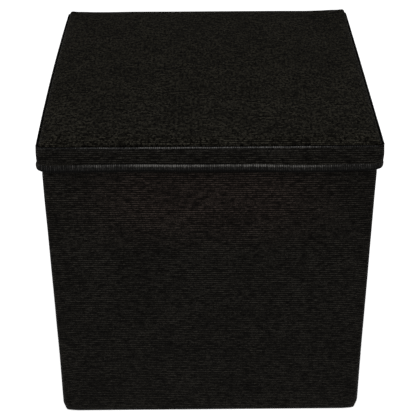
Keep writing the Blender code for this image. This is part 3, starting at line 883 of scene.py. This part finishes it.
def build_lid_welt(cloth):
    """The round welt in the seam."""
    radius = WELT / 2
    ring, bow = lid_ring(radius + 0.1 * MM, 3 * MM)
    angles = np.linspace(0, 2 * math.pi, 13)[:, None]
    wobble = noise_at(ring.line, 0.012, 9.3) * 0.18 * MM
    size = radius * (0.96 + 0.10 * noise_at(ring.line, 0.006, 2.9))
    rows = [(0.0, LID_SEAM - radius)] * len(angles)
    places = ring.sweep(rows, size * np.cos(angles) + bow, size * np.sin(angles) + wobble)
    u, v = angles * radius, ring.along[None]
    piece = grid_mesh("lid_welt", places, u, v, cloth, joined_u=True, joined_v=True)
    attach(piece, "lid")
    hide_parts("lid_seam_welt")


def build_lid_hem(cloth):
    """The rolled hem: a full outer bulge, flat against the skirt lining inside."""
    ring, bow = lid_ring(0, 3 * MM)
    half = (ROLL_TOP - ROLL_BOTTOM) / 2
    angles = np.linspace(-math.pi, math.pi, 21)[:, None]
    size = 1 + 0.06 * noise_at(ring.line, 0.02, 7.7)
    across = np.sign(np.cos(angles)) * np.abs(np.cos(angles)) ** 0.8
    upward = np.sign(np.sin(angles)) * np.abs(np.sin(angles)) ** 0.85
    push = -HEM_THICKNESS / 2 + (HEM_THICKNESS / 2 + HEM_BULGE * (np.cos(angles) > 0)) * across * size
    rows = [(0.0, (ROLL_TOP + ROLL_BOTTOM) / 2)] * len(angles)
    places = ring.sweep(rows, push + bow, half * upward * size + hem_shift(ring.points, ring.normals))
    places[..., 0] += HEM_SIDEWAYS
    u, v = angles * (half + HEM_THICKNESS) / 2, ring.along[None]
    piece = grid_mesh("lid_hem", places, u, v, cloth, joined_u=True, joined_v=True)
    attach(piece, "lid")
    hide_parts(*[f"lid_{side}_hem" for side in SIDES])


def swell(obj, pinned, pressure, cap):
    """Blows the cloth up by pressure, holding the pinned vertices, and keeps the result within the cap."""
    frames = 20
    before = np.array([v.co for v in obj.data.vertices])
    group = obj.vertex_groups.new(name="held")
    group.add([int(i) for i in pinned], 1.0, "REPLACE")
    cloth = obj.modifiers.new("Swell", "CLOTH")
    cloth.settings.vertex_group_mass = "held"
    cloth.settings.use_pressure = True
    cloth.settings.uniform_pressure_force = pressure
    cloth.settings.effector_weights.gravity = 0
    cloth.settings.quality = 5
    cloth.settings.tension_stiffness = 20
    cloth.settings.bending_stiffness = 0.5
    cloth.point_cache.frame_end = frames
    for step in range(1, frames + 1):
        bpy.context.scene.frame_set(step)
    settled = obj.evaluated_get(bpy.context.evaluated_depsgraph_get()).data
    after = np.array([v.co for v in settled.vertices])
    bpy.context.scene.frame_set(1)
    obj.modifiers.remove(cloth)
    obj.vertex_groups.clear()
    moved = after - before
    far = np.linalg.norm(moved, axis=1)[:, None]
    moved *= cap / np.maximum(far + cap, 1e-9)
    obj.data.vertices.foreach_set("co", (before + moved).reshape(-1))
    obj.data.update()


def build_lid_pad(cloth):
    """The padded top, a closed crowned form: its shoulder rolls down to the seam, and foam swells it."""
    insets = [i * MM for i, _ in PAD_EDGE]
    rises = [r * MM for _, r in PAD_EDGE]
    half = LID_HALF - WELT * 0.75
    spare = half - insets[-1]
    count = round(spare / (4.6 * MM))
    inner = np.linspace(0, spare, count + 1)[::-1][1:]
    edge = half - np.array(insets)
    one_side = np.concatenate([edge, inner])
    unrolled = path_lengths(np.column_stack([edge, rises]))
    unrolled = np.concatenate([unrolled, unrolled[-1] + (edge[-1] - inner)])
    unrolled = unrolled[-1] - unrolled
    positions = np.concatenate([-one_side, one_side[::-1][1:]])
    cloth_way = np.concatenate([-unrolled, unrolled[::-1][1:]])
    edge_rise = np.concatenate([rises, np.full(count, rises[-1])])
    last = len(positions) - 1
    index = np.minimum(np.arange(last + 1), last - np.arange(last + 1))
    ring_of = np.minimum(index[:, None], index[None, :])
    y, x = np.meshgrid(positions, positions, indexing="ij")
    v, u = np.meshgrid(cloth_way, cloth_way, indexing="ij")

    radius = PLAN_CORNER - WELT * 0.5
    start = half - radius
    a = np.clip((np.abs(x) - start) / radius, 0, 1)
    b = np.clip((np.abs(y) - start) / radius, 0, 1)
    in_corner = (a > 0) & (b > 0)
    rounded_x = np.sign(x) * (start + radius * a * np.sqrt(1 - b * b / 2))
    rounded_y = np.sign(y) * (start + radius * b * np.sqrt(1 - a * a / 2))
    x, y = np.where(in_corner, rounded_x, x), np.where(in_corner, rounded_y, y)
    crown = (1 - (np.abs(x) / half) ** 2.5) * (1 - (np.abs(y) / half) ** 2.5)
    back_corner = hump(np.abs(x), half, 60 * MM) * hump(y, half, 60 * MM)
    z = LID_SEAM + edge_rise[ring_of] + PAD_CROWN * crown + np.where(x < 0, *BACK_CORNER_RISE) * back_corner
    top = np.stack([x, y, z], axis=2)
    follow_bow(top, half)
    pad = grid_mesh("lid_pad", top, u, v, cloth)
    close_underneath(pad, top, FOAM_BOTTOM + 0.3 * MM)
    number = top.shape[0] * top.shape[1]
    rim = [i for i in range(number) if ring_of.reshape(-1)[i] == 0]
    swell(pad, rim + list(range(number, len(pad.data.vertices))), 2.0, PAD_SWELL)
    places = np.array([vertex.co for vertex in pad.data.vertices])
    inward = np.clip((half - np.maximum(np.abs(places[:, 0]), np.abs(places[:, 1]))) / (30 * MM), 0, 1)
    uneven = noise_at(places, (0.075, 0.06, 1), 12.0) * 0.5 * MM
    uneven = uneven + noise_at(places, (0.03, 0.03, 1), 4.0) * 0.15 * MM
    upper = places[:, 2] > LID_SEAM + 1.5 * MM
    places[:, 2] += uneven * inward * upper
    pad.data.vertices.foreach_set("co", places.reshape(-1))
    smooth = pad.modifiers.new("Smoother", "SUBSURF")
    smooth.levels = smooth.render_levels = 1
    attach(pad, "lid")
    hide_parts("lid_top_cover", "lid_foam")


def close_underneath(obj, top, height):
    """Closes a grid sheet underneath with a flat copy of it at that height."""
    mesh = bmesh.new()
    mesh.from_mesh(obj.data)
    layer = mesh.loops.layers.uv[0]
    mesh.verts.ensure_lookup_table()
    rows, columns = top.shape[:2]
    lower = [mesh.verts.new((co[0], co[1], height)) for co in top.reshape(-1, 3) * (0.985, 0.985, 1)]
    upper = list(mesh.verts)[: rows * columns]

    def add(corners):
        face = mesh.faces.new(corners)
        face.smooth = True
        for loop in face.loops:
            loop[layer].uv = (loop.vert.co.x, loop.vert.co.y)

    for r in range(rows - 1):
        for c in range(columns - 1):
            k = r * columns + c
            add((lower[k], lower[k + columns], lower[k + columns + 1], lower[k + 1]))
    edge = list(range(columns))
    edge += [r * columns + columns - 1 for r in range(1, rows)]
    edge += [(rows - 1) * columns + c for c in range(columns - 2, -1, -1)]
    edge += [r * columns for r in range(rows - 2, 0, -1)]
    for a, b in zip(edge, edge[1:] + edge[:1]):
        add((upper[b], upper[a], lower[a], lower[b]))
    mesh.to_mesh(obj.data)
    mesh.free()


def build_lid_lining(lining):
    """The lining inside the lid, one sheet: up the inside of the skirt and across under the board."""
    half = SKIRT_INSIDE + 0.8 * MM
    ring = Ring(half, 4 * MM, 6 * MM)
    low = SKIRT_LINING_BOTTOM
    high = LID_LINING_BOTTOM + 0.4 * MM
    turn = 2 * MM
    rows = [(0.0, low + (high - turn - low) * t) for t in np.linspace(0, 1, 4)]
    rows += quarter(0.0, high - turn, turn, high)
    upright = len(rows)
    rows += [(half - (half - turn) * t, high) for t in np.linspace(0.97, 0.002, 40)]
    places = ring.sweep(rows)
    follow_bow(places, half)
    free = hump(places[..., 0], 0, FOLD_INSIDE) * hump(places[..., 1], 0, FOLD_INSIDE)
    sag = np.abs(noise_at(places, (0.06, 0.06, 1), 15.0)) * 1.4 * MM * free
    places[upright:, :, 2] -= sag[upright:]
    u, v = places[..., 0].copy(), places[..., 1].copy()
    u[:upright], v[:upright] = ring.along[None], places[:upright, :, 2]
    places, u, v = places[:, ::-1], u[:, ::-1], v[:, ::-1]
    sheet = grid_mesh("lid_underside_lining", places, u, v, lining, joined_u=True, thickness=0.4 * MM)
    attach(sheet, "lid")
    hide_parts("lid_lining", *[f"lid_{side}_skirt_lining" for side in SIDES])


# ---------------------------------------------------------------- studio

CAMERA_PLACE = (-0.0085, -1.2399, 0.9670)
CAMERA_TURN = (0.4732, 32.313, -0.1593)  # to the right, down and rolled, in degrees
CAMERA_LENS = 95.46
WORLD_GLOW = 0.35
KEY_POWER = 32
FILL_POWER = 10

def build_studio():
    """A pale floor, soft light from all round with a key overhead, and the camera."""
    bpy.ops.mesh.primitive_circle_add(vertices=128, radius=12, fill_type="NGON")
    floor = bpy.context.object
    floor.name = "studio_floor"
    floor.location.z = -0.3 * MM
    floor.data.materials.append(studio_floor("studio_floor"))

    world = bpy.data.worlds.new("studio")
    world.use_nodes = True
    world.node_tree.nodes["Background"].inputs["Color"].default_value = (1.0, 1.0, 1.0, 1.0)
    world.node_tree.nodes["Background"].inputs["Strength"].default_value = WORLD_GLOW
    bpy.context.scene.world = world

    def softbox(name, place, target, size, power):
        light = bpy.data.lights.new(name, "AREA")
        light.shape = "RECTANGLE"
        light.size, light.size_y = size
        light.energy = power
        obj = bpy.data.objects.new(name, light)
        obj.location = place
        obj.rotation_euler = (Vector(target) - Vector(place)).to_track_quat("-Z", "Y").to_euler()
        bpy.context.scene.collection.objects.link(obj)

    softbox("key_light", (0.1, -0.9, 2.3), (0, -0.1, 0.3), (1.6, 0.8), KEY_POWER)
    softbox("fill_light", (-1.6, -1.8, 1.2), (0, 0, 0.2), (1.4, 1.4), FILL_POWER)

    camera = bpy.data.objects.new("camera", bpy.data.cameras.new("camera"))
    bpy.context.scene.collection.objects.link(camera)
    yaw, pitch, roll = (math.radians(a) for a in CAMERA_TURN)
    forward = Vector((math.sin(yaw) * math.cos(pitch), math.cos(yaw) * math.cos(pitch), -math.sin(pitch)))
    camera.matrix_world = (
        Matrix.Translation(CAMERA_PLACE)
        @ forward.to_track_quat("-Z", "Y").to_matrix().to_4x4()
        @ Matrix.Rotation(roll, 4, "Z")
    )
    camera.data.lens = CAMERA_LENS
    camera.data.clip_end = 100
    bpy.context.scene.camera = camera
    bpy.context.scene.view_settings.view_transform = "Standard"


# ---------------------------------------------------------------- assembly

ROLL_RIB = 2 * MM
ROLL_SHADOW = (0.0008, 0.0007, 0.0006)

cover_cloth = woven_cloth("cover_cloth", (0.0008, 0.0006, 0.0004), (0.0194, 0.0177, 0.0145))
pad_cloth = woven_cloth("pad_cloth", (0.0008, 0.0006, 0.0003), (0.0286, 0.0259, 0.0184), nubs=(1.4, 370, 220))
# The welt and hem cloths' light colour is a painted highlight for their crests, several times lighter than
# the cover cloth; ROLL_SHADOW, their dark thread colour, is also the painted shadow under them
welt_cloth = woven_cloth("welt_cloth", ROLL_SHADOW, (0.083, 0.080, 0.074), rib=ROLL_RIB, roll=WELT_ROLL)
hem_cloth = woven_cloth("hem_cloth", ROLL_SHADOW, (0.100, 0.097, 0.091), rib=ROLL_RIB, roll=HEM_ROLL)
lining_cloth = bonded_lining("lining_cloth", (0.016, 0.016, 0.017), (0.048, 0.048, 0.050))
tape_cloth = ribbed_tape("tape_cloth", (0.008, 0.008, 0.009), (0.03, 0.03, 0.032))
thread_black = twisted_thread("thread_black", (0.010, 0.010, 0.010), (0.03, 0.03, 0.03))
fibreboard = pressed_board("fibreboard")
foam_pad = open_foam("foam_pad")

slot_materials = {
    "cover_cloth": cover_cloth,
    "lining_cloth": lining_cloth,
    "tape_cloth": tape_cloth,
    "fibreboard": fibreboard,
    "foam_pad": foam_pad,
}
for part in frame["record"]["subparts"]:
    node_mesh = frame["nodes"][part["node"]].data
    node_mesh.materials.clear()
    node_mesh.materials.append(slot_materials[part["material_slot"]])

build_box_cover(cover_cloth, thread_black)
build_wall_boards(fibreboard)
build_box_lining(lining_cloth)
build_bottom_sheet(lining_cloth)
build_floor_panel(lining_cloth, thread_black)
build_pull_tab(tape_cloth, thread_black)
build_hinge_tape(tape_cloth)
build_lid_strips(fibreboard)
build_lid_skirt(cover_cloth)
build_lid_welt(welt_cloth)
build_lid_hem(hem_cloth)
build_lid_pad(pad_cloth)
build_lid_lining(lining_cloth)
build_studio()
